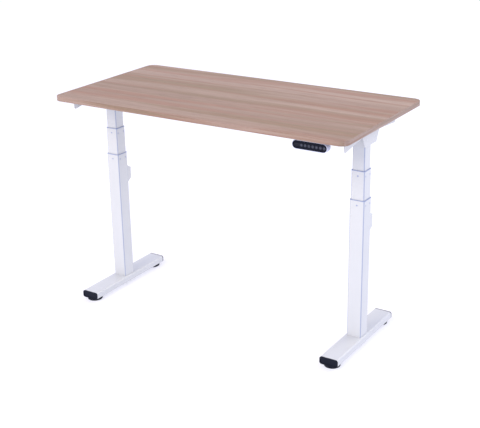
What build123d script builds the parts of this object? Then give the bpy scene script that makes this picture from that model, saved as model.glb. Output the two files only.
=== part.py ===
from build123d import *
import os

os.makedirs("parts", exist_ok=True)

# Electric standing desk with two three-stage columns, in millimetres.
# Origin on the floor under the middle of the top: +X to the user's right, +Y to the back, +Z up.
# The model stands at the height that it has in the photograph.

# Tabletop
top_width = 1200.0
top_depth = 600.0
top_thickness = 18.0
top_corner_radius = 32.0
band_thickness = 2.0
band_softening = 1.5
glue_gap = 0.02

# Heights, from the floor upwards
leveller_height = 10.0
foot_height = 28.0
outer_tube_length = 514.0
guide_flange = 2.0
middle_shown = 103.0
inner_shown = 90.0
head_depth = 64.0

# Columns
column_overhang = 70.0
column_y = -40.0
outer_tube_side = 55.0
tube_wall = 1.5
tube_corner_radius = 4.0
slide_gap = 0.8
middle_tube_length = 505.0
inner_tube_length = 483.0
base_plate_thickness = 8.0

# Guide rings and plugs between the tubes
guide_length = 45.0
guide_overhang = 0.6
run_clearance = 0.1
seat_clearance = 0.05
peg_radius = 2.8
peg_clearance = 0.1
peg_recess = 0.4
peg_drop = 17.0
peg_spacing = 32.0
plug_height = 20.0
plug_flange = 3.0
plug_peg_rise = 6.0
plug_lip = 9.0

# Lift drive in each column
fixed_screw_radius = 6.0
fixed_screw_length = 372.0
fixed_collar_radius = 14.0
fixed_collar_height = 6.0
spigot_length = 7.0
thread_clearance = 0.05
lift_screw_radius = 12.5
lift_screw_length = 398.0
lift_screw_rise = 2.0
lift_nut_depth = 30.0
lift_flange_radius = 14.0
lift_flange_height = 4.0
journal_radius = 9.95
journal_clearance = 0.05
bearing_radius = 20.0
hex_across_flats = 16.0
hex_clearance = 0.1
hex_grip = 30.0
hex_corner_room = 0.36
drive_bore_radius = 6.6
drive_start = 9.0
wheel_radius = 14.0
wheel_height = 18.0
wheel_room = 1.0
top_journal_radius = 8.0
top_journal_length = 10.0
inner_nut_height = 28.0
axial_clearance = 0.1

# Foot, caps and levelling feet
foot_length = 430.0
foot_width = 70.0
foot_wall = 1.5
foot_corner_radius = 8.0
cap_depth = 14.0
cap_wall = 2.5
cap_proud = 5.0
cap_softening = 1.5
cap_rim = 4.0
cap_recess = 1.5
foot_bolt_radius = 3.95
foot_bolt_spacing = 34.0
foot_bolt_head_radius = 6.5
foot_bolt_head_height = 6.0
foot_bolt_hole_clearance = 0.3
foot_access_radius = 8.0
leveller_inset = 26.0
pad_radius = 29.0
pad_rim_height = 8.0
pad_height = 9.5
pad_softening = 1.5
pad_top_radius = 22.0
stud_radius = 5.0
stud_length = 24.0
stud_clearance = 0.05
weld_nut_radius = 8.0
weld_nut_height = 10.0

# Cable bridge on the back of each outer tube
bridge_width = 47.0
bridge_height = 70.0
bridge_depth = 22.0
bridge_sheet = 1.5
bridge_slope = 13.0
bridge_drop = 55.0

# Heads, rails and side brackets under the top
head_width = 84.0
head_sheet = 2.5
head_inner_length = 200.0
head_top_gap = 1.0
bracket_sheet = 3.0
bracket_offset = 30.0
bracket_length = 384.0
bracket_flange = 30.0
bracket_front_depth = 44.0
bracket_shoulder_depth = 24.0
bracket_rear_depth = 33.0
bracket_slope = 20.0
bracket_corner = 7.0
rail_width = 20.0
rail_height = 40.0
rail_wall = 1.5
rail_end_gap = 4.0
rail_corner_radius = 2.5

# Motors and gearboxes
gearbox_inner = 32.0
gearbox_outer = 20.0
gearbox_width = 72.0
gearbox_roof = 6.0
gearbox_softening = 3.0
motor_radius = 19.5
motor_length = 118.0
motor_floor_gap = 0.5
motor_softening = 2.0
worm_radius = 5.0
motor_boss_radius = 6.0
motor_boss_length = 5.0

# Control box behind the rear rail
box_length = 250.0
box_depth = 110.0
box_height = 32.0
box_wall = 2.5
box_softening = 3.0
box_gap_to_rail = 28.0
lid_thickness = 3.0
lid_ear = 14.0
socket_depth = 20.0
socket_proud = 1.0
socket_wall = 2.0
socket_clearance = 0.1
inlet_width = 26.0
inlet_height = 16.0
port_width = 15.0
port_height = 12.0
port_pitch = 36.0
inlet_offset = 85.0

# Handset under the front edge
handset_end_gap = 134.0
handset_setback = 12.0
handset_width = 128.0
handset_height = 31.0
handset_drop = 3.0
handset_foot_setback = 5.0
handset_depth = 24.0
handset_lip = 1.8
handset_softening = 1.2
panel_thickness = 2.4
panel_proud = 0.4
panel_clearance = 0.1
display_width = 20.0
display_height = 12.0
display_offset = 45.0
display_recess = 0.3
button_count = 7
button_pitch = 13.65
first_button = -28.5
button_radius = 5.2
button_proud = 0.6
button_travel = 0.8
button_collar = 0.9
button_collar_height = 1.6
button_clearance = 0.1
button_stem = 2.0
button_room = 0.4

# Fasteners
screw_radius = 2.0
screw_clearance = 0.4
screw_head_radius = 4.0
screw_head_height = 2.2
screw_bite = 14.0
pilot_clearance = 0.05
screw_access_radius = 6.0
bolt_radius = 3.0
bolt_clearance = 0.1
bolt_head_radius = 5.0
bolt_head_height = 4.0
bolt_reach = 5.0
rail_bolt_drop = 14.0
rail_bolt_pitch = 90.0
rail_bolt_inset = 25.0
bracket_bolt_spacing = 52.0
bracket_bolt_rise = 20.0
bracket_screw_inset = 22.0
bracket_screw_pitch = 80.0
rail_screw_pitch = 200.0
handset_screw_spacing = 72.0
handset_screw_inset = 7.0
handset_screw_drop = 10.0

# Levels worked out from the heights
foot_bottom = leveller_height
foot_top = foot_bottom + foot_height
outer_top = foot_top + outer_tube_length
middle_top = outer_top + guide_flange + middle_shown
middle_bottom = middle_top - middle_tube_length
head_bottom = middle_top + guide_flange + inner_shown
inner_bottom = head_bottom - inner_tube_length
underside = head_bottom + head_depth
base_plate_top = foot_top + base_plate_thickness
plug_top = middle_bottom + plug_height
bearing_bottom = middle_bottom + plug_lip
lift_bottom = middle_bottom + lift_screw_rise
lift_top = lift_bottom + lift_screw_length
lift_nut_top = lift_bottom + lift_nut_depth
head_floor = head_bottom + head_sheet
worm_level = head_floor + motor_floor_gap + motor_radius

# Sections worked out from the tubes
column_x = top_width / 2 - column_overhang
outer_cavity = outer_tube_side - 2 * tube_wall
middle_tube_side = outer_cavity - 2 * slide_gap
middle_cavity = middle_tube_side - 2 * tube_wall
inner_tube_side = middle_cavity - 2 * slide_gap
inner_cavity = inner_tube_side - 2 * tube_wall
cavity_radius = tube_corner_radius - tube_wall
hex_corner_radius = hex_across_flats / 3**0.5
bracket_inner_x = column_x + bracket_offset
head_inner_x = column_x - head_inner_length
gearbox_inner_x = column_x - gearbox_inner

nodes = {}


def square_bar(side, radius, bottom, top):
    """Upright square bar with rounded corners on the Z axis."""
    return Pos(0, 0, bottom) * extrude(RectangleRounded(side, side, radius), top - bottom)


def rod(radius, bottom, top):
    """Upright round bar on the Z axis."""
    height = top - bottom
    return Pos(0, 0, bottom) * Cylinder(radius, height, align=(Align.CENTER, Align.CENTER, Align.MIN))


def block(low, high):
    """Plain block between two corners."""
    size = [b - a for a, b in zip(low, high)]
    return Pos(*low) * Box(*size, align=(Align.MIN, Align.MIN, Align.MIN))


def crosswise(origin, direction, radius, length):
    """Round bar that starts at origin and runs along direction."""
    start = Plane(origin=origin, z_dir=direction)
    return start * Cylinder(radius, length, align=(Align.CENTER, Align.CENTER, Align.MIN))


def pegs(face_distance, level, radius, length):
    """Round pegs on the four faces of a square tube: one front and back, two on each side."""
    spread = peg_spacing / 2
    found = []
    for way in (-1, 1):
        found.append(crosswise((0, way * face_distance, level), (0, way, 0), radius, length))
        for y in (-spread, spread):
            found.append(crosswise((way * face_distance, y, level), (way, 0, 0), radius, length))
    return found


def keep(name, piece):
    nodes[name] = piece


def group(name, pieces):
    nodes[name] = Compound(children=list(pieces))


def at_column(piece, way):
    """Piece drawn on the Z axis, put on the left (-1) or right (1) column."""
    return Pos(way * column_x, column_y, 0) * piece


def on_side(piece, way):
    """Piece drawn on the right, mirrored for the left (-1)."""
    return piece if way > 0 else mirror(piece, about=Plane.YZ)


# Square tubes of the columns
def tube(side, bottom, top, peg_levels):
    """Hollow square tube with the holes that its guide ring or plug pegs into."""
    cavity = side - 2 * tube_wall
    hollow = square_bar(side, tube_corner_radius, bottom, top)
    hollow -= square_bar(cavity, cavity_radius, bottom, top)
    for level in peg_levels:
        hollow -= pegs(cavity / 2 - tube_wall, level, peg_radius + peg_clearance, 3 * tube_wall)
    return hollow


def outer_tube():
    """Outer tube with the base plate that is welded into its bottom end."""
    plate = square_bar(outer_cavity, cavity_radius, foot_top, base_plate_top)
    plate -= rod(fixed_screw_radius, foot_top, base_plate_top)
    for spot in GridLocations(foot_bolt_spacing, foot_bolt_spacing, 2, 2):
        plate -= spot * rod(foot_bolt_radius + seat_clearance, foot_top, base_plate_top)
    return tube(outer_tube_side, foot_top, outer_top, [outer_top - peg_drop]) + plate


def peg_height():
    """How far a peg stands out of the ring or plug that carries it."""
    return tube_wall - peg_recess


def guide_ring(side, top):
    """Guide ring in the mouth of a tube, for the next tube to slide in."""
    cavity = side - 2 * tube_wall
    slider = cavity - 2 * slide_gap
    liner_side = cavity - 2 * seat_clearance
    ring = square_bar(liner_side, cavity_radius, top - guide_length, top)
    flange_side = side + 2 * guide_overhang
    ring += square_bar(flange_side, tube_corner_radius + guide_overhang, top, top + guide_flange)
    ring += pegs(liner_side / 2 - seat_clearance, top - peg_drop, peg_radius, peg_height())
    passage = square_bar(
        slider + 2 * run_clearance,
        tube_corner_radius + run_clearance,
        top - guide_length,
        top + guide_flange,
    )
    return ring - passage


def middle_plug():
    """Plug in the middle tube's bottom end: holds the screw bearing and slides in the outer tube."""
    seat_side = middle_cavity - 2 * seat_clearance
    plug = square_bar(seat_side, cavity_radius, middle_bottom, plug_top)
    shoe_side = outer_cavity - 2 * run_clearance
    plug += square_bar(shoe_side, cavity_radius, middle_bottom - plug_flange, middle_bottom)
    plug += pegs(seat_side / 2 - seat_clearance, middle_bottom + plug_peg_rise, peg_radius, peg_height())
    plug -= rod(bearing_radius + seat_clearance, bearing_bottom, plug_top)
    return plug - rod(lift_screw_radius, middle_bottom - plug_flange, bearing_bottom)


def inner_nut():
    """Nut in the bottom of the inner tube, which runs on the lift screw and slides in the middle tube."""
    seat_side = inner_cavity - 2 * seat_clearance
    shoe_side = middle_cavity - 2 * run_clearance
    bottom = inner_bottom - plug_flange
    top = inner_bottom + inner_nut_height
    nut = square_bar(seat_side, cavity_radius, inner_bottom, top)
    nut += square_bar(shoe_side, cavity_radius, bottom, inner_bottom)
    return nut - rod(lift_screw_radius + thread_clearance, bottom, top)


# Lift drive on the axis of each column
def hex_bar(across_flats, bottom, top):
    """Upright hexagon bar on the Z axis."""
    section = RegularPolygon(across_flats / 2, 6, major_radius=False)
    return Pos(0, 0, bottom) * extrude(section, top - bottom)


def bearing():
    """Ring bearing that carries the lift screw in the plug."""
    ring = rod(bearing_radius, bearing_bottom, plug_top)
    return ring - rod(journal_radius + journal_clearance, bearing_bottom, plug_top)


def fixed_screw():
    """Screw that stands on the base plate and doesn't turn."""
    screw = rod(fixed_screw_radius, base_plate_top, base_plate_top + fixed_screw_length)
    screw += rod(fixed_collar_radius, base_plate_top, base_plate_top + fixed_collar_height)
    return screw + rod(fixed_screw_radius - seat_clearance, base_plate_top - spigot_length, base_plate_top)


def lift_screw():
    """Hollow screw: its lower end is a nut on the fixed screw, its upper end grips the drive shaft."""
    flange_bottom = plug_top + axial_clearance
    screw = rod(journal_radius, lift_bottom, flange_bottom)
    screw += rod(lift_flange_radius, flange_bottom, flange_bottom + lift_flange_height)
    screw += rod(lift_screw_radius, flange_bottom, lift_top)
    screw -= rod(fixed_screw_radius + thread_clearance, lift_bottom, lift_nut_top)
    screw -= rod(hex_corner_radius + hex_corner_room, lift_nut_top, lift_top - hex_grip)
    return screw - hex_bar(hex_across_flats + 2 * hex_clearance, lift_top - hex_grip, lift_top)


def drive_shaft():
    """Hexagon tube from the gearbox down into the lift screw, with the worm wheel at its top."""
    bottom = inner_bottom + drive_start
    wheel_top = worm_level + wheel_height / 2
    shaft = hex_bar(hex_across_flats, bottom, wheel_top)
    shaft += rod(wheel_radius, wheel_top - wheel_height, wheel_top)
    shaft += rod(top_journal_radius, wheel_top, wheel_top + wheel_room + top_journal_length)
    return shaft - rod(drive_bore_radius, bottom, wheel_top - wheel_height)


# Foot, its caps, bolts and levelling feet
def leveller_spots():
    """Front and rear places of the levelling feet along the foot."""
    reach = foot_length / 2 - leveller_inset
    return [-reach, reach]


def foot_beam():
    """Flat steel tube with bolt holes under the column and weld nuts for the levelling feet."""
    outside = RectangleRounded(foot_width, foot_height, foot_corner_radius)
    inside_radius = foot_corner_radius - foot_wall
    inside = RectangleRounded(foot_width - 2 * foot_wall, foot_height - 2 * foot_wall, inside_radius)
    section = Plane.XZ * (outside - inside)
    beam = Pos(0, 0, foot_bottom + foot_height / 2) * extrude(section, foot_length / 2, both=True)
    nut_bottom = foot_bottom + foot_wall
    for y in leveller_spots():
        beam += Pos(0, y, 0) * rod(weld_nut_radius, nut_bottom, nut_bottom + weld_nut_height)
    for y in leveller_spots():
        beam -= Pos(0, y, 0) * rod(stud_radius + stud_clearance, foot_bottom, nut_bottom + weld_nut_height)
    for spot in GridLocations(foot_bolt_spacing, foot_bolt_spacing, 2, 2):
        hole_radius = foot_bolt_radius + foot_bolt_hole_clearance
        beam -= spot * rod(hole_radius, foot_top - foot_wall, foot_top)
        beam -= spot * rod(foot_access_radius, foot_bottom, nut_bottom)
    return beam


def foot_cap(way):
    """End cap of the foot, front (-1) or back (1): a rim with a sunk face, on a hollow plug."""
    width = foot_width - 2 * foot_wall - 2 * seat_clearance
    height = foot_height - 2 * foot_wall - 2 * seat_clearance
    plug = extrude(Plane.XZ * RectangleRounded(width, height, foot_corner_radius - foot_wall), cap_depth)
    hollow = RectangleRounded(width - 2 * cap_wall, height - 2 * cap_wall, cap_wall)
    plug -= extrude(Plane.XZ * hollow, cap_depth)
    outline = RectangleRounded(foot_width, foot_height, foot_corner_radius)
    rim = Pos(0, -cap_depth, 0) * extrude(Plane.XZ * outline, cap_proud)
    rim = fillet(rim.edges().group_by(Axis.Y)[0], cap_softening)
    face = RectangleRounded(foot_width - 2 * cap_rim, foot_height - 2 * cap_rim, foot_corner_radius - cap_rim)
    rim -= Pos(0, cap_recess - cap_depth - cap_proud, 0) * extrude(Plane.XZ * face, cap_recess)
    cap = Pos(0, cap_depth - foot_length / 2, foot_bottom + foot_height / 2) * (plug + rim)
    return cap if way < 0 else mirror(cap, about=Plane.XZ)


def foot_bolt():
    """Bolt from inside the foot up into the base plate."""
    seat = foot_top - foot_wall
    head = rod(foot_bolt_head_radius, seat - foot_bolt_head_height, seat)
    return head + rod(foot_bolt_radius, seat, base_plate_top)


def leveller():
    """Levelling foot: a round domed pad moulded on a threaded stud."""
    dome = Pos(0, 0, pad_rim_height) * Cone(
        pad_radius - pad_softening,
        pad_top_radius,
        pad_height - pad_rim_height,
        align=(Align.CENTER, Align.CENTER, Align.MIN),
    )
    rim = rod(pad_radius, 0, pad_rim_height)
    rim = fillet(rim.edges().filter_by(GeomType.CIRCLE), pad_softening)
    return rim + dome + rod(stud_radius, pad_height, pad_height + stud_length)


def cable_bridge():
    """Folded sheet bridge on the back of the outer tube, open at both ends for the motor's cable."""
    back = outer_tube_side / 2
    top = outer_top - bridge_drop
    bottom = top - bridge_height
    half = bridge_width / 2
    side_view = Polyline(
        (back, bottom),
        (back + bridge_depth, bottom + bridge_slope),
        (back + bridge_depth, top - bridge_slope),
        (back, top),
        close=True,
    )
    bridge = extrude(Plane.YZ * make_face(side_view), half, both=True)
    room = block(
        (bridge_sheet - half, back, bottom),
        (half - bridge_sheet, back + bridge_depth - bridge_sheet, top),
    )
    return bridge - room


# Frame under the top
def head():
    """Folded sheet channel on top of the right column, closed at its outer end."""
    half = head_width / 2
    top = underside - bracket_sheet - head_top_gap
    outside = block((head_inner_x, column_y - half, head_bottom), (bracket_inner_x, column_y + half, top))
    inside = block(
        (head_inner_x, column_y - half + head_sheet, head_floor),
        (bracket_inner_x - head_sheet, column_y + half - head_sheet, top),
    )
    channel = outside - inside
    shaft_hole = rod(hex_corner_radius + journal_clearance, head_bottom, head_floor)
    channel -= Pos(column_x, column_y, 0) * shaft_hole
    for place, direction in rail_bolts() + bracket_bolts():
        channel -= crosswise(place, direction, bolt_radius + bolt_clearance, head_sheet)
    return channel


def rail_bolts():
    """Inner face and direction of each bolt from the right head into a rail."""
    inner = head_width / 2 - head_sheet
    level = underside - rail_bolt_drop
    first = head_inner_x + rail_bolt_inset
    return [
        ((x, column_y + way * inner, level), (0, way, 0))
        for x in (first, first + rail_bolt_pitch)
        for way in (-1, 1)
    ]


def bracket_bolts():
    """Inner face and direction of each bolt from the right head into its side bracket."""
    x = bracket_inner_x - head_sheet
    level = head_floor + bracket_bolt_rise
    spread = bracket_bolt_spacing / 2
    return [((x, column_y + y, level), (1, 0, 0)) for y in (-spread, spread)]


def side_bracket():
    """Right side bracket: a deep middle on the head's end, tapered arms and a flange screwed to the top."""
    half = bracket_length / 2
    middle = head_width / 2
    shoulder = middle + bracket_slope
    side_view = Polyline(
        (column_y - half, underside),
        (column_y - half, underside - bracket_front_depth),
        (column_y - shoulder, underside - bracket_shoulder_depth),
        (column_y - middle, head_bottom),
        (column_y + middle, head_bottom),
        (column_y + shoulder, underside - bracket_shoulder_depth),
        (column_y + half, underside - bracket_rear_depth),
        (column_y + half, underside),
        close=True,
    )
    plate = Pos(bracket_inner_x, 0, 0) * extrude(Plane.YZ * make_face(side_view), bracket_sheet)
    low_ends = plate.edges().filter_by(Axis.X).sort_by(Axis.Y)
    low_ends = [edge for edge in low_ends if edge.center().Z < underside - bracket_sheet]
    plate = fillet([low_ends[0], low_ends[-1]], bracket_corner)
    flange = block(
        (bracket_inner_x - bracket_flange, column_y - half, underside - bracket_sheet),
        (bracket_inner_x, column_y + half, underside),
    )
    bracket = plate + flange
    for x, y in bracket_screws():
        bracket -= Pos(x, y, 0) * rod(screw_radius + screw_clearance, underside - bracket_sheet, underside)
    for place, direction in bracket_bolts():
        start = (bracket_inner_x, place[1], place[2])
        bracket -= crosswise(start, direction, bolt_radius + bolt_clearance, bracket_sheet)
    return bracket


def bracket_screws():
    """Places of the wood screws in the right side bracket's flange."""
    x = bracket_inner_x - bracket_flange / 2
    end = bracket_length / 2 - bracket_screw_inset
    inner = end - bracket_screw_pitch
    return [(x, column_y + y) for y in (-end, -inner, inner, end)]


def rail_middle(way):
    """Y of the front (-1) or rear (1) rail's middle."""
    return column_y + way * (head_width + rail_width) / 2


def rail_half_length():
    return bracket_inner_x - bracket_flange - rail_end_gap


def rail_screws(way):
    """Places of the wood screws in a rail."""
    pitch = rail_screw_pitch
    return [(pitch * (i - 1.5), rail_middle(way)) for i in range(4)]


def rail(way):
    """Front (-1) or rear (1) rail: a rectangular tube between the heads, screwed up to the top."""
    outside = RectangleRounded(rail_width, rail_height, rail_corner_radius)
    room_size = (rail_width - 2 * rail_wall, rail_height - 2 * rail_wall)
    inside = RectangleRounded(*room_size, rail_corner_radius - rail_wall)
    bar = extrude(Plane.YZ * (outside - inside), rail_half_length(), both=True)
    bar = Pos(0, rail_middle(way), underside - rail_height / 2) * bar
    bottom = underside - rail_height
    for x, y in rail_screws(way):
        bar -= Pos(x, y, 0) * rod(screw_radius + screw_clearance, underside - rail_wall, underside)
        bar -= Pos(x, y, 0) * rod(screw_access_radius, bottom, bottom + rail_wall)
    for (x, y, z), direction in rail_bolts():
        if direction[1] == way:
            start = y + way * head_sheet
            for side in (-1, 1):
                bar -= crosswise((side * x, start, z), direction, bolt_radius + bolt_clearance, rail_wall)
    return bar


def bolt(place, direction, grip):
    """Bolt with its head against place, its shank running along direction."""
    back = tuple(-bolt_head_height * d for d in direction)
    start = tuple(p + b for p, b in zip(place, back))
    head = crosswise(start, direction, bolt_head_radius, bolt_head_height)
    return head + crosswise(place, direction, bolt_radius, grip)


def frame_bolts():
    """Bolts that join the heads, rails and side brackets."""
    found = [bolt(place, way, head_sheet + rail_wall + bolt_reach) for place, way in rail_bolts()]
    found += [bolt(place, way, head_sheet + bracket_sheet) for place, way in bracket_bolts()]
    return found + [mirror(piece, about=Plane.YZ) for piece in found]


# Motor and gearbox in each head
def gearbox():
    """Right gearbox case, open below where it stands on the head's floor."""
    half = gearbox_width / 2
    wheel_top = worm_level + wheel_height / 2
    roof = wheel_top + wheel_room + top_journal_length + gearbox_roof
    case = block(
        (gearbox_inner_x, column_y - half, head_floor),
        (column_x + gearbox_outer, column_y + half, roof),
    )
    case = fillet(case.edges().filter_by(Axis.Z), gearbox_softening)
    axis = Pos(column_x, column_y, 0)
    case -= axis * rod(wheel_radius + wheel_room, head_floor, wheel_top + wheel_room)
    journal_top = wheel_top + wheel_room + top_journal_length + axial_clearance
    return case - axis * rod(top_journal_radius + journal_clearance, wheel_top, journal_top)


def motor():
    """Right motor, lying in the head with its nose against the gearbox."""
    y = column_y + wheel_radius + worm_radius
    can = crosswise((gearbox_inner_x, y, worm_level), (-1, 0, 0), motor_radius, motor_length)
    can = fillet(can.edges().group_by(Axis.X)[0], motor_softening)
    end = gearbox_inner_x - motor_length
    return can + crosswise((end, y, worm_level), (-1, 0, 0), motor_boss_radius, motor_boss_length)


# Control box
box_front = rail_middle(1) + rail_width / 2 + box_gap_to_rail
box_back = box_front + box_depth
box_top = underside - lid_thickness
box_bottom = box_top - box_height


def sockets():
    """Middle X, width and height of the mains inlet and of the three cable ports."""
    found = [(-inlet_offset, inlet_width, inlet_height)]
    return found + [(port_pitch * i, port_width, port_height) for i in range(3)]


def control_case():
    """Open-topped case of the control box, with windows for its sockets in the back wall."""
    outside = block((-box_length / 2, box_front, box_bottom), (box_length / 2, box_back, box_top))
    outside = fillet(outside.edges().filter_by(Axis.Z), box_softening)
    inside = block(
        (box_wall - box_length / 2, box_front + box_wall, box_bottom + box_wall),
        (box_length / 2 - box_wall, box_back - box_wall, box_top),
    )
    case = outside - inside
    level = (box_bottom + box_top) / 2
    for x, width, height in sockets():
        case -= Pos(x, box_back, level) * Box(width, 2 * box_wall, height)
    return case


def control_socket(x, width, height):
    """Socket body seated in its window, open to the back."""
    level = (box_bottom + box_top) / 2
    depth = socket_depth + socket_proud
    outer_size = (width - 2 * socket_clearance, height - 2 * socket_clearance)
    middle = box_back + socket_proud - depth / 2
    body = Pos(x, middle, level) * Box(outer_size[0], depth, outer_size[1])
    mouth = Pos(x, middle + socket_wall, level) * Box(
        outer_size[0] - 2 * socket_wall, depth, outer_size[1] - 2 * socket_wall
    )
    return body - mouth


def lid_screws():
    """Places of the wood screws in the lid's ears."""
    x = box_length / 2 + lid_ear / 2
    y = box_depth / 2 - lid_ear
    middle = (box_front + box_back) / 2
    return [(sx * x, middle + sy * y) for sx in (-1, 1) for sy in (-1, 1)]


def control_lid():
    """Lid against the underside of the top, with an ear at each end."""
    length = box_length + 2 * lid_ear
    lid = block((-length / 2, box_front, box_top), (length / 2, box_back, underside))
    lid = fillet(lid.edges().filter_by(Axis.Z), box_softening)
    for x, y in lid_screws():
        lid -= Pos(x, y, 0) * rod(screw_radius + screw_clearance, box_top, underside)
    return lid


# Handset
handset_x = top_width / 2 - handset_end_gap
handset_front = handset_setback - top_depth / 2
handset_back = handset_front + handset_depth
handset_z = underside - handset_drop - handset_height / 2
handset_bottom = handset_z - handset_height / 2
panel_back = handset_front - panel_proud + panel_thickness
collar_back = panel_back + axial_clearance + button_collar_height
stem_back = collar_back + button_stem
pocket_back = stem_back + button_travel + button_room


def facing(sketch, front, back):
    """Sketch in the handset's face, extruded from front to back along Y."""
    return Pos(handset_x, back, handset_z) * extrude(Plane.XZ * sketch, back - front)


def button_places():
    return [first_button + button_pitch * i for i in range(button_count)]


def handset_screws():
    """Places of the wood screws that hang the handset."""
    y = handset_back - handset_screw_inset
    return [(handset_x + way * handset_screw_spacing / 2, y) for way in (-1, 1)]


def handset_housing():
    """Pill-shaped housing on a flat foot, with a recess for the panel and a pocket behind the buttons."""
    body = facing(SlotOverall(handset_width, handset_height), handset_front, handset_back)
    body = fillet(body.edges().group_by(Axis.Y)[-1], handset_softening)
    foot_half = (handset_width - handset_height) / 2
    body += block(
        (handset_x - foot_half, handset_front + handset_foot_setback, handset_z),
        (handset_x + foot_half, handset_back - handset_softening, underside),
    )
    face = SlotOverall(handset_width - 2 * handset_lip, handset_height - 2 * handset_lip)
    body -= facing(face, handset_front, panel_back)
    places = button_places()
    pocket_height = 2 * (button_radius + button_collar + button_room)
    pocket_length = places[-1] - places[0] + pocket_height
    pocket = Pos((places[0] + places[-1]) / 2, 0) * SlotOverall(pocket_length, pocket_height)
    body -= facing(pocket, panel_back, pocket_back)
    seat = underside - handset_screw_drop
    for x, y in handset_screws():
        body -= Pos(x, y, 0) * rod(screw_radius + screw_clearance, seat, underside)
        body -= Pos(x, y, 0) * rod(screw_head_radius + screw_clearance, handset_bottom, seat)
    return body


def handset_panel():
    """Gloss panel with the display's shallow window and the button holes."""
    margin = 2 * (handset_lip + panel_clearance)
    front = handset_front - panel_proud
    panel = facing(SlotOverall(handset_width - margin, handset_height - margin), front, panel_back)
    window = Pos(-display_offset, 0) * Rectangle(display_width, display_height)
    panel -= facing(window, front, front + display_recess)
    for u in button_places():
        panel -= facing(Pos(u, 0) * Circle(button_radius + button_clearance), front, panel_back)
    return panel


def button(u):
    """Round button with a collar behind the panel and a stem on its switch."""
    front = handset_front - panel_proud - button_proud
    cap = facing(Pos(u, 0) * Circle(button_radius), front, stem_back)
    collar = Pos(u, 0) * Circle(button_radius + button_collar)
    return cap + facing(collar, panel_back + axial_clearance, collar_back)


# Tabletop and its screws
def tabletop_screw_places():
    """Place and seat level of every wood screw in the underside of the top."""
    flange_seat = underside - bracket_sheet
    right = [(x, y, flange_seat) for x, y in bracket_screws()]
    left = [(-x, y, z) for x, y, z in right]
    rails = [(x, y, underside - rail_wall) for way in (-1, 1) for x, y in rail_screws(way)]
    lid = [(x, y, box_top) for x, y in lid_screws()]
    handset = [(x, y, underside - handset_screw_drop) for x, y in handset_screws()]
    return right + left + rails + lid + handset


def tabletop_screw(x, y, seat):
    head = rod(screw_head_radius, seat - screw_head_height, seat)
    return Pos(x, y, 0) * (head + rod(screw_radius, seat, underside + screw_bite))


def tabletop_slab(inset):
    """Slab of the top's outline, drawn in by inset all round."""
    radius = top_corner_radius - inset
    outline = RectangleRounded(top_width - 2 * inset, top_depth - 2 * inset, radius)
    return Pos(0, 0, underside) * extrude(outline, top_thickness)


def tabletop_board():
    board = tabletop_slab(band_thickness + glue_gap)
    hole = rod(screw_radius + pilot_clearance, underside, underside + screw_bite + pilot_clearance)
    for x, y, seat in tabletop_screw_places():
        board -= Pos(x, y, 0) * hole
    return board


def tabletop_edge_band():
    slab = tabletop_slab(0)
    rims = slab.edges().group_by(Axis.Z)
    slab = fillet(rims[0] + rims[-1], band_softening)
    return slab - tabletop_slab(band_thickness)


# Left and right halves of the desk
for side, way in (("left", -1), ("right", 1)):
    keep(f"{side}_foot_beam", at_column(foot_beam(), way))
    caps = [at_column(foot_cap(end), way) for end in (-1, 1)]
    group(f"{side}_foot_caps", caps)
    bolt_spots = GridLocations(foot_bolt_spacing, foot_bolt_spacing, 2, 2)
    group(f"{side}_foot_bolts", [at_column(spot * foot_bolt(), way) for spot in bolt_spots])
    for end, y in zip(("front", "rear"), leveller_spots()):
        keep(f"{side}_{end}_leveller", at_column(Pos(0, y, 0) * leveller(), way))
    keep(f"{side}_outer_tube", at_column(outer_tube(), way))
    keep(f"{side}_outer_guide", at_column(guide_ring(outer_tube_side, outer_top), way))
    keep(f"{side}_cable_bridge", at_column(cable_bridge(), way))
    keep(f"{side}_fixed_screw", at_column(fixed_screw(), way))
    middle_pegs = [middle_top - peg_drop, middle_bottom + plug_peg_rise]
    middle = tube(middle_tube_side, middle_bottom, middle_top, middle_pegs)
    keep(f"{side}_middle_tube", at_column(middle, way))
    keep(f"{side}_middle_guide", at_column(guide_ring(middle_tube_side, middle_top), way))
    keep(f"{side}_middle_plug", at_column(middle_plug(), way))
    keep(f"{side}_screw_bearing", at_column(bearing(), way))
    keep(f"{side}_lift_screw", at_column(lift_screw(), way))
    inner = tube(inner_tube_side, inner_bottom, head_bottom, [])
    keep(f"{side}_inner_tube", at_column(inner, way))
    keep(f"{side}_inner_nut", at_column(inner_nut(), way))
    keep(f"{side}_drive_shaft", at_column(drive_shaft(), way))
    keep(f"{side}_head", on_side(head(), way))
    keep(f"{side}_gearbox", on_side(gearbox(), way))
    keep(f"{side}_motor", on_side(motor(), way))
    keep(f"{side}_side_bracket", on_side(side_bracket(), way))

# Pieces that the two halves share
keep("front_rail", rail(-1))
keep("rear_rail", rail(1))
group("frame_bolts", frame_bolts())
keep("control_box_case", control_case())
keep("control_box_lid", control_lid())
group("control_box_sockets", [control_socket(*each) for each in sockets()])
keep("handset_housing", handset_housing())
keep("handset_panel", handset_panel())
for number, u in enumerate(button_places(), 1):
    keep(f"handset_button_{number}", button(u))
keep("tabletop_board", tabletop_board())
keep("tabletop_edge_band", tabletop_edge_band())
group("tabletop_screws", [tabletop_screw(*each) for each in tabletop_screw_places()])

for name, piece in nodes.items():
    export_step(piece, f"parts/{name}.step")
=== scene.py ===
import math

import bmesh
import bpy
from mathutils import Matrix, Vector


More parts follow.
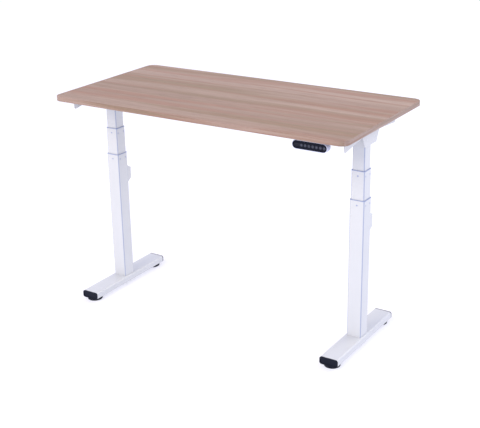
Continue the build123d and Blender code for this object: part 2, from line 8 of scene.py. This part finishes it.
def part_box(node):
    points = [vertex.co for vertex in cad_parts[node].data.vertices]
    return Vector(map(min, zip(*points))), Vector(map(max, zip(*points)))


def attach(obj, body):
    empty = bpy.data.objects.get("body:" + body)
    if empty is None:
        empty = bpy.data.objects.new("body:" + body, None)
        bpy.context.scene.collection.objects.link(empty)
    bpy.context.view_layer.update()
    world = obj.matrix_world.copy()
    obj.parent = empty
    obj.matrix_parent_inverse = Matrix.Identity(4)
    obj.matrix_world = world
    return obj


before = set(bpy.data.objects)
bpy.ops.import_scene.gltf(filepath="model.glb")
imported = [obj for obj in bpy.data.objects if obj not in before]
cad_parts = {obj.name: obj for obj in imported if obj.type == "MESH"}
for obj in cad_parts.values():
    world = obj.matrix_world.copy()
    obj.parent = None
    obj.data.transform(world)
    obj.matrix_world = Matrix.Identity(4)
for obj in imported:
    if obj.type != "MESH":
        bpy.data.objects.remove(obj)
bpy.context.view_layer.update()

# Foot beams: rectangular steel tube, sawn square, closed by a cap at each end and powder coated.
# Each carries one column, which is bolted down onto it from below.


def linear(hex_colour):
    """An sRGB hex value as the linear colour that a shader socket takes."""
    parts = [int(hex_colour[i:i + 2], 16) / 255 for i in (1, 3, 5)]
    return tuple(p / 12.92 if p <= 0.04045 else ((p + 0.055) / 1.055) ** 2.4 for p in parts) + (1.0,)


def add(tree, kind, inputs, **settings):
    """Adds one node with its settings; an input is linked if it is a socket, and set if it is a value."""
    made = tree.nodes.new(kind)
    for name, value in settings.items():
        setattr(made, name, value)
    for name, value in inputs.items():
        if isinstance(value, bpy.types.NodeSocket):
            tree.links.new(value, made.inputs[name])
        else:
            made.inputs[name].default_value = value
    return made


def new_finish(name):
    """An empty node material, its tree and its object coordinates."""
    material = bpy.data.materials.new(name)
    material.use_nodes = True
    tree = material.node_tree
    tree.nodes.clear()
    return material, tree, add(tree, "ShaderNodeTexCoord", {}).outputs["Object"]


def give(material, *names):
    """Gives the named CAD pieces their finish."""
    for name in names:
        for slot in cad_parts[name].material_slots:
            slot.material = material


def both(name):
    """The left and the right piece of that name."""
    return "left_" + name, "right_" + name


# Satin white powder coat on steel: a smooth baked film with a faint orange peel, about 2 mm across,
# which is drawn 5 mm across to show. On a tube's upright corners it is mixed toward blue-grey as painted
# shade.
powder_coat, tree, place = new_finish("white_powder_coated_steel")
peel = add(tree, "ShaderNodeTexNoise", {"Vector": place, "Scale": 200.0, "Detail": 2.0})
cloud = add(tree, "ShaderNodeTexNoise", {"Vector": place, "Scale": 14.0, "Detail": 2.0})
film = add(tree, "ShaderNodeMix", {0: cloud.outputs["Fac"], 6: linear("#C6C9CD"), 7: linear("#CCCED2")},
           data_type="RGBA")
# Painted shade: where the normal turns between X and Y, on the upright corners, the coat is mixed up to 0.8
# toward a darker blue-grey.
facing = add(tree, "ShaderNodeSeparateXYZ", {
    0: add(tree, "ShaderNodeTexCoord", {}).outputs["Normal"]}).outputs
turn = add(tree, "ShaderNodeMath", {0: facing[0], 1: facing[1]}, operation="MULTIPLY").outputs[0]
corner = add(tree, "ShaderNodeMath", {0: turn}, operation="ABSOLUTE").outputs[0]
painted_corner_shade = add(tree, "ShaderNodeMapRange", {"Value": corner, "From Min": 0.1, "From Max": 0.45, "To Max": 0.8})
coat_and_corner_shade = add(tree, "ShaderNodeMix", {0: painted_corner_shade.outputs[0], 6: film.outputs[2], 7: linear("#8E9AB8")},
           data_type="RGBA")
sheen = add(tree, "ShaderNodeMapRange", {"Value": peel.outputs["Fac"], "From Min": 0.3, "From Max": 0.7,
                                         "To Min": 0.09, "To Max": 0.13})
relief = add(tree, "ShaderNodeBump", {"Height": peel.outputs["Fac"], "Strength": 0.02, "Distance": 0.0005})
surface = add(tree, "ShaderNodeBsdfPrincipled", {
    "Base Color": coat_and_corner_shade.outputs[2], "Roughness": sheen.outputs[0], "IOR": 1.5, "Normal": relief.outputs[0]})
add(tree, "ShaderNodeOutputMaterial", {"Surface": surface.outputs[0]})
give(powder_coat, *both("foot_beam"))

# Foot caps and levelling feet: injection-moulded black polypropylene with a spark-eroded grain.
# Each cap plugs into the beam's end behind a rim with a sunk face; each pad turns on its own threaded stud.

# Black polypropylene: matt and slightly blue, with a moulded grain of 0.6 mm, drawn 2 mm wide to show.
moulded_black, tree, place = new_finish("moulded_black_polypropylene")
grain = add(tree, "ShaderNodeTexNoise", {"Vector": place, "Scale": 500.0, "Detail": 3.0})
flow = add(tree, "ShaderNodeTexNoise", {"Vector": place, "Scale": 40.0, "Detail": 2.0})
tone = add(tree, "ShaderNodeMix", {0: flow.outputs["Fac"], 6: linear("#0A0C14"), 7: linear("#11141F")},
           data_type="RGBA")
matt = add(tree, "ShaderNodeMapRange", {"Value": grain.outputs["Fac"], "From Min": 0.3, "From Max": 0.7,
                                        "To Min": 0.38, "To Max": 0.55})
relief = add(tree, "ShaderNodeBump", {"Height": grain.outputs["Fac"], "Strength": 0.25, "Distance": 0.0004})
surface = add(tree, "ShaderNodeBsdfPrincipled", {
    "Base Color": tone.outputs[2], "Roughness": matt.outputs[0], "IOR": 1.49, "Specular IOR Level": 0.25,
    "Specular Tint": linear("#C9D2FF"), "Normal": relief.outputs[0]})
add(tree, "ShaderNodeOutputMaterial", {"Surface": surface.outputs[0]})
give(moulded_black, *both("foot_caps"), *both("front_leveller"), *both("rear_leveller"))

# Foot bolts: socket-head machine screws from below, through the beam into the column's base plate.
# Steel, zinc plated.

# Zinc plate: bright blue-grey metal with faint cloudy patches about 4 mm across.
zinc_plate, tree, place = new_finish("zinc_plated_steel")
patch = add(tree, "ShaderNodeTexNoise", {"Vector": place, "Scale": 250.0, "Detail": 3.0})
tone = add(tree, "ShaderNodeMix", {0: patch.outputs["Fac"], 6: linear("#B4BAC2"), 7: linear("#D6D8DA")},
           data_type="RGBA")
shine = add(tree, "ShaderNodeMapRange", {"Value": patch.outputs["Fac"], "From Min": 0.3, "From Max": 0.7,
                                         "To Min": 0.25, "To Max": 0.42})
surface = add(tree, "ShaderNodeBsdfPrincipled", {
    "Base Color": tone.outputs[2], "Metallic": 1.0, "Roughness": shine.outputs[0]})
add(tree, "ShaderNodeOutputMaterial", {"Surface": surface.outputs[0]})
give(zinc_plate, *both("foot_bolts"))

# Lift screws: two steel screws in each column, one standing on the base, one turning in the middle tube.
# Their trapezoidal threads are rolled, 3 mm from crest to crest.

# Rolled steel: bright crests and dark, greased roots, as bands along the screw every 3 mm.
rolled_steel, tree, place = new_finish("rolled_steel_thread")
crests = add(tree, "ShaderNodeTexWave", {"Vector": place, "Scale": math.tau / 20 / 0.003},
             wave_type="BANDS", bands_direction="Z")
grease = add(tree, "ShaderNodeTexNoise", {"Vector": place, "Scale": 120.0, "Detail": 3.0})
tone = add(tree, "ShaderNodeMix", {0: crests.outputs["Fac"], 6: linear("#4E4A42"), 7: linear("#C3C5C8")},
           data_type="RGBA")
shine = add(tree, "ShaderNodeMapRange", {"Value": grease.outputs["Fac"], "From Min": 0.3, "From Max": 0.7,
                                         "To Min": 0.22, "To Max": 0.4})
relief = add(tree, "ShaderNodeBump", {"Height": crests.outputs["Fac"], "Strength": 0.8, "Distance": 0.001})
surface = add(tree, "ShaderNodeBsdfPrincipled", {
    "Base Color": tone.outputs[2], "Metallic": 1.0, "Roughness": shine.outputs[0],
    "Normal": relief.outputs[0]})
add(tree, "ShaderNodeOutputMaterial", {"Surface": surface.outputs[0]})
give(rolled_steel, *both("fixed_screw"), *both("lift_screw"))

# Drive shafts and screw bearings: hexagon bar that hangs from the gearbox and drives the lift screw,
# and the ring that the lift screw turns in. Ground and hardened steel.

# Ground steel: fine grinding lines round the axis, 1 mm apart as drawn.
ground_steel, tree, place = new_finish("ground_steel")
stretched = add(tree, "ShaderNodeMapping", {"Vector": place, "Scale": (60.0, 60.0, 1000.0)})
lines = add(tree, "ShaderNodeTexNoise", {"Vector": stretched.outputs[0], "Scale": 1.0, "Detail": 2.0})
tone = add(tree, "ShaderNodeMix", {0: lines.outputs["Fac"], 6: linear("#9EA1A6"), 7: linear("#C6C8CB")},
           data_type="RGBA")
shine = add(tree, "ShaderNodeMapRange", {"Value": lines.outputs["Fac"], "From Min": 0.3, "From Max": 0.7,
                                         "To Min": 0.18, "To Max": 0.32})
surface = add(tree, "ShaderNodeBsdfPrincipled", {
    "Base Color": tone.outputs[2], "Metallic": 1.0, "Roughness": shine.outputs[0]})
add(tree, "ShaderNodeOutputMaterial", {"Surface": surface.outputs[0]})
give(ground_steel, *both("drive_shaft"), *both("screw_bearing"))

# Columns: three square steel tubes that telescope, the widest one at the bottom.
# Welded tube, powder coated with the rest of the frame.
give(powder_coat, *both("outer_tube"), *both("middle_tube"), *both("inner_tube"))

# Guide rings: moulded sleeves in the mouth of each tube that the next tube slides in.
# A thin flange shows above the rim, and round pegs snap into holes in the tube's wall.

# Grey acetal: cool grey, waxy, with moulding flow about 8 mm across.
guide_acetal, tree, place = new_finish("grey_acetal")
flow = add(tree, "ShaderNodeTexNoise", {"Vector": place, "Scale": 120.0, "Detail": 2.0})
tone = add(tree, "ShaderNodeMix", {0: flow.outputs["Fac"], 6: linear("#8390B6"), 7: linear("#97A3C6")},
           data_type="RGBA")
wax = add(tree, "ShaderNodeMapRange", {"Value": flow.outputs["Fac"], "From Min": 0.3, "From Max": 0.7,
                                       "To Min": 0.35, "To Max": 0.48})
surface = add(tree, "ShaderNodeBsdfPrincipled", {
    "Base Color": tone.outputs[2], "Roughness": wax.outputs[0], "IOR": 1.48})
add(tree, "ShaderNodeOutputMaterial", {"Surface": surface.outputs[0]})
give(guide_acetal, *both("outer_guide"), *both("middle_guide"))

# Plugs and nuts: the foot of the middle tube, with the first nut, and the nut in the foot of the inner tube.
# Machined from white acetal rod, which runs on the steel screws with little grease.

# White acetal: ivory white with fine turning marks, 1 mm apart as drawn.
white_acetal, tree, place = new_finish("white_acetal")
stretched = add(tree, "ShaderNodeMapping", {"Vector": place, "Scale": (80.0, 80.0, 1000.0)})
marks = add(tree, "ShaderNodeTexNoise", {"Vector": stretched.outputs[0], "Scale": 1.0, "Detail": 2.0})
tone = add(tree, "ShaderNodeMix", {0: marks.outputs["Fac"], 6: linear("#DEDBD0"), 7: linear("#EFEDE6")},
           data_type="RGBA")
wax = add(tree, "ShaderNodeMapRange", {"Value": marks.outputs["Fac"], "From Min": 0.3, "From Max": 0.7,
                                       "To Min": 0.34, "To Max": 0.46})
surface = add(tree, "ShaderNodeBsdfPrincipled", {
    "Base Color": tone.outputs[2], "Roughness": wax.outputs[0], "IOR": 1.48})
add(tree, "ShaderNodeOutputMaterial", {"Surface": surface.outputs[0]})
give(white_acetal, *both("middle_plug"), *both("inner_nut"))

# Cable bridges: sheet steel bent to a low box, welded by its edges to the back of the outer tube.
# It is open above and below for cables to pass. Powder coated with the tube.
give(powder_coat, *both("cable_bridge"))

# Heads: pressed steel channels on top of the columns, which hold the gearbox and motor and take the rails.
# Powder coated sheet.
give(powder_coat, *both("head"))

# Gearboxes: die-cast housings on top of each drive shaft, with the worm that the motor turns.
# Aluminium, as cast, with machined faces.

# Die-cast aluminium: dull silver with a sandy skin, 1 mm grain drawn 3 mm wide.
cast_aluminium, tree, place = new_finish("die_cast_aluminium")
skin = add(tree, "ShaderNodeTexNoise", {"Vector": place, "Scale": 330.0, "Detail": 4.0})
tone = add(tree, "ShaderNodeMix", {0: skin.outputs["Fac"], 6: linear("#8B8D91"), 7: linear("#B4B6B9")},
           data_type="RGBA")
dull = add(tree, "ShaderNodeMapRange", {"Value": skin.outputs["Fac"], "From Min": 0.3, "From Max": 0.7,
                                        "To Min": 0.42, "To Max": 0.6})
relief = add(tree, "ShaderNodeBump", {"Height": skin.outputs["Fac"], "Strength": 0.3, "Distance": 0.0006})
surface = add(tree, "ShaderNodeBsdfPrincipled", {
    "Base Color": tone.outputs[2], "Metallic": 1.0, "Roughness": dull.outputs[0],
    "Normal": relief.outputs[0]})
add(tree, "ShaderNodeOutputMaterial", {"Surface": surface.outputs[0]})
give(cast_aluminium, *both("gearbox"))

# Motors: deep-drawn steel cans that lie along the head, screwed to the gearbox by their front face.
# Black passivated zinc.

# Black passivated steel: dark metal with drawing lines along the can, 1.5 mm apart as drawn.
motor_steel, tree, place = new_finish("black_passivated_steel")
stretched = add(tree, "ShaderNodeMapping", {"Vector": place, "Scale": (25.0, 660.0, 660.0)})
lines = add(tree, "ShaderNodeTexNoise", {"Vector": stretched.outputs[0], "Scale": 1.0, "Detail": 2.0})
tone = add(tree, "ShaderNodeMix", {0: lines.outputs["Fac"], 6: linear("#2C2E33"), 7: linear("#45484E")},
           data_type="RGBA")
shine = add(tree, "ShaderNodeMapRange", {"Value": lines.outputs["Fac"], "From Min": 0.3, "From Max": 0.7,
                                         "To Min": 0.28, "To Max": 0.42})
surface = add(tree, "ShaderNodeBsdfPrincipled", {
    "Base Color": tone.outputs[2], "Metallic": 0.9, "Roughness": shine.outputs[0]})
add(tree, "ShaderNodeOutputMaterial", {"Surface": surface.outputs[0]})
give(motor_steel, *both("motor"))

# Rails and side brackets: two box rails join the heads, and a folded plate at each end carries the top.
# Powder coated steel, held by zinc-plated machine screws.
give(powder_coat, "front_rail", "rear_rail", *both("side_bracket"))
give(zinc_plate, "frame_bolts")

# Control box: a moulded case with a screwed lid, under the middle of the top, and sockets along its back.
# ABS, textured outside; the sockets are black inserts.

# Textured ABS: dark grey, with a fine leathery grain of 0.8 mm, drawn 2.5 mm wide.
box_abs, tree, place = new_finish("textured_grey_abs")
cells = add(tree, "ShaderNodeTexVoronoi", {"Vector": place, "Scale": 400.0})
flow = add(tree, "ShaderNodeTexNoise", {"Vector": place, "Scale": 30.0, "Detail": 2.0})
tone = add(tree, "ShaderNodeMix", {0: flow.outputs["Fac"], 6: linear("#2A2C31"), 7: linear("#36383E")},
           data_type="RGBA")
matt = add(tree, "ShaderNodeMapRange", {"Value": flow.outputs["Fac"], "From Min": 0.3, "From Max": 0.7,
                                        "To Min": 0.45, "To Max": 0.58})
relief = add(tree, "ShaderNodeBump", {
    "Height": cells.outputs["Distance"], "Strength": 0.3, "Distance": 0.0004})
surface = add(tree, "ShaderNodeBsdfPrincipled", {
    "Base Color": tone.outputs[2], "Roughness": matt.outputs[0], "IOR": 1.54, "Normal": relief.outputs[0]})
add(tree, "ShaderNodeOutputMaterial", {"Surface": surface.outputs[0]})
give(box_abs, "control_box_case", "control_box_lid")
give(moulded_black, "control_box_sockets")

# Handset housing: a pill-shaped moulding with a flat foot on top, screwed up under the front edge.
# Pale grey ABS with a satin skin.

# Satin ABS: pale blue-grey, with a fine moulded grain of 0.8 mm, drawn 2 mm wide.
satin_abs, tree, place = new_finish("satin_grey_abs")
grain = add(tree, "ShaderNodeTexNoise", {"Vector": place, "Scale": 500.0, "Detail": 2.0})
tone = add(tree, "ShaderNodeMix", {0: grain.outputs["Fac"], 6: linear("#B4BBD2"), 7: linear("#C2C8DC")},
           data_type="RGBA")
satin = add(tree, "ShaderNodeMapRange", {"Value": grain.outputs["Fac"], "From Min": 0.3, "From Max": 0.7,
                                         "To Min": 0.28, "To Max": 0.38})
surface = add(tree, "ShaderNodeBsdfPrincipled", {
    "Base Color": tone.outputs[2], "Roughness": satin.outputs[0], "IOR": 1.54})
add(tree, "ShaderNodeOutputMaterial", {"Surface": surface.outputs[0]})
give(satin_abs, "handset_housing")

# Handset panel: a black acrylic face let into the housing, with the display's window and the button holes.
# Three unlit seven-segment figures lie behind the window.

# Gloss black acrylic: polished, with handling haze about 6 mm across in its gloss.
gloss_acrylic, tree, place = new_finish("gloss_black_acrylic")
haze = add(tree, "ShaderNodeTexNoise", {"Vector": place, "Scale": 160.0, "Detail": 3.0})
tone = add(tree, "ShaderNodeMix", {0: haze.outputs["Fac"], 6: linear("#07080D"), 7: linear("#0C0E15")},
           data_type="RGBA")
polish = add(tree, "ShaderNodeMapRange", {"Value": haze.outputs["Fac"], "From Min": 0.3, "From Max": 0.7,
                                          "To Min": 0.06, "To Max": 0.16})
surface = add(tree, "ShaderNodeBsdfPrincipled", {
    "Base Color": tone.outputs[2], "Roughness": polish.outputs[0], "IOR": 1.49, "Specular IOR Level": 0.2,
    "Specular Tint": linear("#C0CAFF")})
add(tree, "ShaderNodeOutputMaterial", {"Surface": surface.outputs[0]})
give(gloss_acrylic, "handset_panel")

# Unlit segments: smoked grey, a little lighter than the window round them.
unlit, tree, place = new_finish("smoked_segment")
haze = add(tree, "ShaderNodeTexNoise", {"Vector": place, "Scale": 400.0, "Detail": 2.0})
tone = add(tree, "ShaderNodeMix", {0: haze.outputs["Fac"], 6: linear("#24262E"), 7: linear("#2E3039")},
           data_type="RGBA")
surface = add(tree, "ShaderNodeBsdfPrincipled", {
    "Base Color": tone.outputs[2], "Roughness": 0.2, "IOR": 1.49})
add(tree, "ShaderNodeOutputMaterial", {"Surface": surface.outputs[0]})

panel_low, panel_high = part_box("handset_panel")
handset_x = (panel_low.x + panel_high.x) / 2
handset_z = (panel_low.z + panel_high.z) / 2
window_depth = 0.0003
window_face = panel_low.y + window_depth


def new_piece(name, mesh, material, body):
    """Turns a finished bmesh into a piece that rides on a body and takes that slot's finish."""
    bmesh.ops.recalc_face_normals(mesh, faces=mesh.faces)
    data = bpy.data.meshes.new(name)
    mesh.to_mesh(data)
    mesh.free()
    piece = bpy.data.objects.new(name, data)
    bpy.context.scene.collection.objects.link(piece)
    data.materials.append(material)
    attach(piece, body)


def bar_on(mesh, across, up, width, height, face, proud):
    """Adds a small bar with rounded corners to mesh, on a face that looks along -Y."""
    made = bmesh.ops.create_cube(mesh, size=1.0)["verts"]
    bmesh.ops.scale(mesh, vec=(width, proud, height), verts=made)
    corners = [edge for edge in mesh.edges if edge.verts[0] in made
               and abs(edge.verts[0].co.y - edge.verts[1].co.y) > proud / 2]
    corner_radius = min(width, height) * 0.4
    rounded = bmesh.ops.bevel(mesh, geom=corners, offset=corner_radius, offset_type="OFFSET",
                              affect="EDGES", segments=2, profile=0.5, material=-1)
    moved = {vert for part in rounded["faces"] for vert in part.verts}
    bmesh.ops.translate(mesh, vec=(across, face - proud / 2, up), verts=list(moved))


figures = bmesh.new()
display_x = handset_x - 0.045
figure_width, figure_height, figure_pitch = 0.0042, 0.0078, 0.0066
segment_width, segment_proud = 0.0007, 0.0001
flat_length, upright_length = figure_width * 0.72, figure_height * 0.40
for digit in (-1, 0, 1):
    middle = display_x + digit * figure_pitch
    for level in (-1, 0, 1):
        bar_on(figures, middle, handset_z + level * figure_height / 2,
               flat_length, segment_width, window_face, segment_proud)
    for side in (-1, 1):
        for level in (-1, 1):
            bar_on(figures, middle + side * figure_width / 2, handset_z + level * figure_height / 4,
                   segment_width, upright_length, window_face, segment_proud)
new_piece("display_figures", figures, unlit, "top")

# Handset buttons: seven round keys that press straight in, with a printed mark on each face.
# Black silicone; the first two raise and lower the desk, four recall heights, the last stores one.

# Silicone rubber: soft dark grey, matt, with a dusty bloom about 2 mm across.
silicone, tree, place = new_finish("black_silicone_rubber")
bloom = add(tree, "ShaderNodeTexNoise", {"Vector": place, "Scale": 500.0, "Detail": 3.0})
tone = add(tree, "ShaderNodeMix", {0: bloom.outputs["Fac"], 6: linear("#222634"), 7: linear("#2C3040")},
           data_type="RGBA")
matt = add(tree, "ShaderNodeMapRange", {"Value": bloom.outputs["Fac"], "From Min": 0.3, "From Max": 0.7,
                                        "To Min": 0.35, "To Max": 0.5})
surface = add(tree, "ShaderNodeBsdfPrincipled", {
    "Base Color": tone.outputs[2], "Roughness": matt.outputs[0], "IOR": 1.41})
add(tree, "ShaderNodeOutputMaterial", {"Surface": surface.outputs[0]})
give(silicone, *[f"handset_button_{number}" for number in range(1, 8)])

# Pad print: dim grey ink, slightly uneven.
print_ink, tree, place = new_finish("grey_pad_print")
uneven = add(tree, "ShaderNodeTexNoise", {"Vector": place, "Scale": 900.0, "Detail": 2.0})
tone = add(tree, "ShaderNodeMix", {0: uneven.outputs["Fac"], 6: linear("#4C5266"), 7: linear("#5E6478")},
           data_type="RGBA")
surface = add(tree, "ShaderNodeBsdfPrincipled", {"Base Color": tone.outputs[2], "Roughness": 0.5, "IOR": 1.5})
add(tree, "ShaderNodeOutputMaterial", {"Surface": surface.outputs[0]})

ink = 0.00006
arrow_radius = 0.0022
stroke_width, stroke_height, stroke_pitch = 0.0005, 0.0026, 0.0011
ring_radius, ring_width, ring_sides = 0.0021, 0.0006, 24


def disc_on(mesh, across, up, sides, radius, way, face):
    """Adds one flat face of that many sides that looks along -Y, with a corner up (1) or down (-1)."""
    made = bmesh.ops.create_circle(mesh, cap_ends=True, segments=sides, radius=radius)["verts"]
    bmesh.ops.rotate(mesh, cent=(0, 0, 0), matrix=Matrix.Rotation(math.pi / 2, 3, "X"), verts=made)
    bmesh.ops.scale(mesh, vec=(1, 1, way), verts=made)
    bmesh.ops.translate(mesh, vec=(across, face, up), verts=made)


def thicken(mesh, depth):
    """Gives the flat faces of mesh that depth along +Y."""
    grown = bmesh.ops.extrude_face_region(mesh, geom=mesh.faces[:])["geom"]
    raised = [part for part in grown if isinstance(part, bmesh.types.BMVert)]
    bmesh.ops.translate(mesh, vec=(0, depth, 0), verts=raised)


for number in range(1, 8):
    low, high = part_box(f"handset_button_{number}")
    across, up, face = (low.x + high.x) / 2, (low.z + high.z) / 2, low.y
    mark = bmesh.new()
    if number < 3:
        disc_on(mark, across, up, 3, arrow_radius, 1 if number == 1 else -1, face - ink)
        thicken(mark, ink)
    elif number < 7:
        strokes = number - 2
        for stroke in range(strokes):
            shift = (stroke - (strokes - 1) / 2) * stroke_pitch
            bar_on(mark, across + shift, up, stroke_width, stroke_height, face, ink)
    else:
        disc_on(mark, across, up, ring_sides, ring_radius, 1, face - ink)
        bmesh.ops.inset_region(mark, faces=mark.faces[:], thickness=ring_width, use_boundary=True,
                               use_even_offset=True)
        hole = [part for part in mark.faces if len(part.verts) == ring_sides]
        bmesh.ops.delete(mark, geom=hole, context="FACES")
        thicken(mark, ink)
    new_piece(f"button_mark_{number}", mark, print_ink, f"handset_button_{number}")

# Tabletop: 18 mm particle board, faced on both sides with a printed wood decor and banded all round.
# Wood screws hold it to the brackets and rails from below.


def decor(tree, along, across, depth, tones, fineness):
    """Printed wood with its grain along the first coordinate; tones go from its ground to its pores."""
    spot = add(tree, "ShaderNodeCombineXYZ", {0: along, 1: across, 2: depth}).outputs[0]
    bend = add(tree, "ShaderNodeMapping", {"Vector": spot, "Scale": (1.2, 2.4, 2.4)}).outputs[0]
    drift = add(tree, "ShaderNodeTexNoise", {"Vector": bend, "Scale": 1.0, "Detail": 1.0}).outputs["Fac"]
    swayed = add(tree, "ShaderNodeMath", {0: drift, 1: 0.05, 2: across}, operation="MULTIPLY_ADD").outputs[0]
    fibre = add(tree, "ShaderNodeCombineXYZ", {0: along, 1: swayed, 2: depth}).outputs[0]
    printed = linear(tones[0])
    for tone, scale, detail, low, high, strength in (
            (tones[1], (0.4, 7.0, 7.0), 2.0, 0.40, 0.60, 1.0),
            (tones[2], (0.7, 20.0, 20.0), 2.5, 0.48, 0.64, 0.85),
            (tones[3], (0.9, 34.0, 34.0), 2.5, 0.50, 0.64, 0.8),
            (tones[4], (3.0, 150.0, 150.0), 2.0, 0.44, 0.62, 0.22),
            (tones[5], (20.0, 500.0, 500.0), 1.0, 0.56, 0.72, 0.3)):
        stretch = [fineness * part for part in scale]
        drawn = add(tree, "ShaderNodeMapping", {"Vector": fibre, "Location": stretch, "Scale": stretch})
        noise = add(tree, "ShaderNodeTexNoise", {"Vector": drawn.outputs[0], "Scale": 1.0, "Detail": detail})
        noise = noise.outputs["Fac"]
        share = add(tree, "ShaderNodeMapRange", {"Value": noise, "From Min": low, "From Max": high,
                                                 "To Max": strength}).outputs[0]
        layer = add(tree, "ShaderNodeMix", {0: share, 6: printed, 7: linear(tone)}, data_type="RGBA")
        printed = layer.outputs[2]
    return printed, noise


# Melamine-faced board: a satin print of light walnut. A pinkish ground has browner bands about 140 mm wide,
# olive streaks of 50 mm, reddish ones of 30 mm, lines of 7 mm and short dark pores of 2 mm along it.
wood_decor, tree, place = new_finish("melamine_walnut_decor")
parts_of = add(tree, "ShaderNodeSeparateXYZ", {0: place}).outputs
printed, pores = decor(tree, parts_of[0], parts_of[1], parts_of[2],
                       ("#A99180", "#977E6C", "#8A7358", "#98735E", "#795E4F", "#5A453A"), 1.0)
satin = add(tree, "ShaderNodeMapRange", {"Value": pores, "To Min": 0.46, "To Max": 0.56}).outputs[0]
relief = add(tree, "ShaderNodeBump", {"Height": pores, "Strength": 0.05, "Distance": 0.0004}).outputs[0]
surface = add(tree, "ShaderNodeBsdfPrincipled", {
    "Base Color": printed, "Roughness": satin, "IOR": 1.46, "Specular IOR Level": 0.3, "Normal": relief})
add(tree, "ShaderNodeOutputMaterial", {"Surface": surface.outputs[0]})
give(wood_decor, "tabletop_board")
give(zinc_plate, "tabletop_screws")

# Edge band: a 2 mm strip wrapped round the board's edge, its corners softened by a profile cutter.
# ABS with the same decor printed along its length.

# Printed ABS edging: the board's decor a shade darker, its streaks a third as wide to suit the strip.
# Its grain follows the strip round the corners.
wood_edge, tree, place = new_finish("printed_abs_edging")
parts_of = add(tree, "ShaderNodeSeparateXYZ", {0: place}).outputs
facing = add(tree, "ShaderNodeSeparateXYZ", {
    0: add(tree, "ShaderNodeTexCoord", {}).outputs["Normal"]}).outputs
sideways = add(tree, "ShaderNodeMath", {0: facing[0]}, operation="ABSOLUTE").outputs[0]
end_grain = add(tree, "ShaderNodeMath", {0: sideways, 1: 0.7}, operation="GREATER_THAN").outputs[0]
run = add(tree, "ShaderNodeMix", {0: end_grain, 2: parts_of[0], 3: parts_of[1]}, data_type="FLOAT")
back = add(tree, "ShaderNodeMix", {0: end_grain, 2: parts_of[1], 3: parts_of[0]}, data_type="FLOAT")
printed, pores = decor(tree, run.outputs[0], parts_of[2], back.outputs[0],
                       ("#9F877C", "#957D71", "#846E5A", "#907060", "#745D50", "#59463A"), 3.0)
satin = add(tree, "ShaderNodeMapRange", {"Value": pores, "To Min": 0.34, "To Max": 0.44}).outputs[0]
surface = add(tree, "ShaderNodeBsdfPrincipled", {
    "Base Color": printed, "Roughness": satin, "IOR": 1.5, "Specular IOR Level": 0.4})
add(tree, "ShaderNodeOutputMaterial", {"Surface": surface.outputs[0]})
give(wood_edge, "tabletop_edge_band")

# Studio: a plain white floor that runs out of sight, under soft light from all round.
# The camera stands at the front right, above the top, as in the photograph.
bpy.context.scene.view_settings.view_transform = "Standard"
floor_reach = 40.0
sweep = bmesh.new()
bmesh.ops.create_grid(sweep, x_segments=1, y_segments=1, size=floor_reach)
data = bpy.data.meshes.new("floor")
sweep.to_mesh(data)
sweep.free()
floor = bpy.data.objects.new("floor", data)
bpy.context.scene.collection.objects.link(floor)
paper, tree, _ = new_finish("white_backdrop_paper")
surface = add(tree, "ShaderNodeBsdfPrincipled", {
    "Base Color": linear("#BEBEBE"), "Roughness": 1.0, "Specular IOR Level": 0.0,
    "Emission Color": linear("#F0F0FF"), "Emission Strength": 0.56})
add(tree, "ShaderNodeOutputMaterial", {"Surface": surface.outputs[0]})
data.materials.append(paper)

world = bpy.data.worlds.new("studio")
bpy.context.scene.world = world
world.use_nodes = True
tree = world.node_tree
tree.nodes.clear()
room = add(tree, "ShaderNodeBackground", {"Color": linear("#EAEBFF"), "Strength": 1.22})
backdrop = add(tree, "ShaderNodeBackground", {"Color": linear("#FFFFFF"), "Strength": 1.0})
seen = add(tree, "ShaderNodeLightPath", {}).outputs["Is Camera Ray"]
shown = add(tree, "ShaderNodeMixShader", {0: seen, 1: room.outputs[0], 2: backdrop.outputs[0]})
add(tree, "ShaderNodeOutputWorld", {"Surface": shown.outputs[0]})

desk_middle = Vector((0.0, 0.0, 0.5))
for name, spot, size, power, tint in (
        ("front_softbox", (-0.9, -4.6, 3.3), 2.6, 132.0, "#FFF1D0"),
        ("side_softbox", (2.6, -3.6, 2.2), 2.2, 24.0, "#E4F0FF"),
        ("rear_softbox", (2.6, 3.0, 2.7), 2.4, 50.0, "#FFFBDC")):
    lamp = bpy.data.lights.new(name, "AREA")
    lamp.size = size
    lamp.energy = power
    lamp.color = linear(tint)[:3]
    soft = bpy.data.objects.new(name, lamp)
    soft.visible_camera = False
    bpy.context.scene.collection.objects.link(soft)
    aim = desk_middle - Vector(spot)
    soft.matrix_world = Matrix.Translation(spot) @ aim.to_track_quat("-Z", "Y").to_matrix().to_4x4()

lens = bpy.data.cameras.new("camera")
lens.sensor_width = 36.0
lens.lens = 77.0
camera = bpy.data.objects.new("camera", lens)
bpy.context.scene.collection.objects.link(camera)
stand = (1.9666, -3.0271, 1.7548)
yaw, pitch, roll = math.radians(32.822), math.radians(20.832), math.radians(-1.035)
camera.matrix_world = (Matrix.Translation(stand) @ Matrix.Rotation(yaw, 4, "Z")
                       @ Matrix.Rotation(math.pi / 2 - pitch, 4, "X") @ Matrix.Rotation(roll, 4, "Z"))
bpy.context.scene.camera = camera
